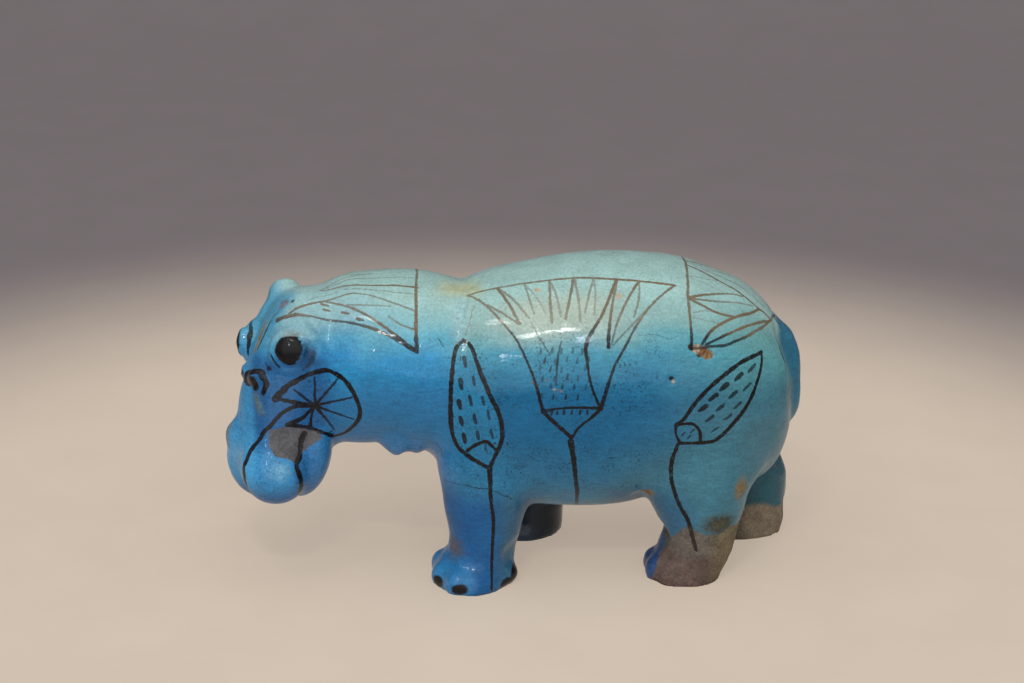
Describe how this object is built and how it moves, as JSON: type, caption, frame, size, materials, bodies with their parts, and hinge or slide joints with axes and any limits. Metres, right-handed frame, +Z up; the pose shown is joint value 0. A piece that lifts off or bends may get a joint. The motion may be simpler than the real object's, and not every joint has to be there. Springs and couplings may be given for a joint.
{
  "type": "faience hippopotamus figurine",
  "caption": "Small standing hippopotamus in blue-green glazed faience, head lowered and turned, marsh plants drawn in dark line; rests on its feet.",
  "frame": {"origin": "middle of the footprint box on the ground plane under the feet", "axes": "+Z up, the animal faces -X, its left side faces -Y"},
  "size_m": [0.2, 0.0808, 0.1087],
  "materials": {
    "faience_glaze": "glossy blue-green faience glaze, pale turquoise on the back and deeper blue below, with dark painted line and matt grey repairs on the feet"
  },
  "bodies": {
    "root": {"hippopotamus": "faience_glaze"}
  },
  "joints": []
}
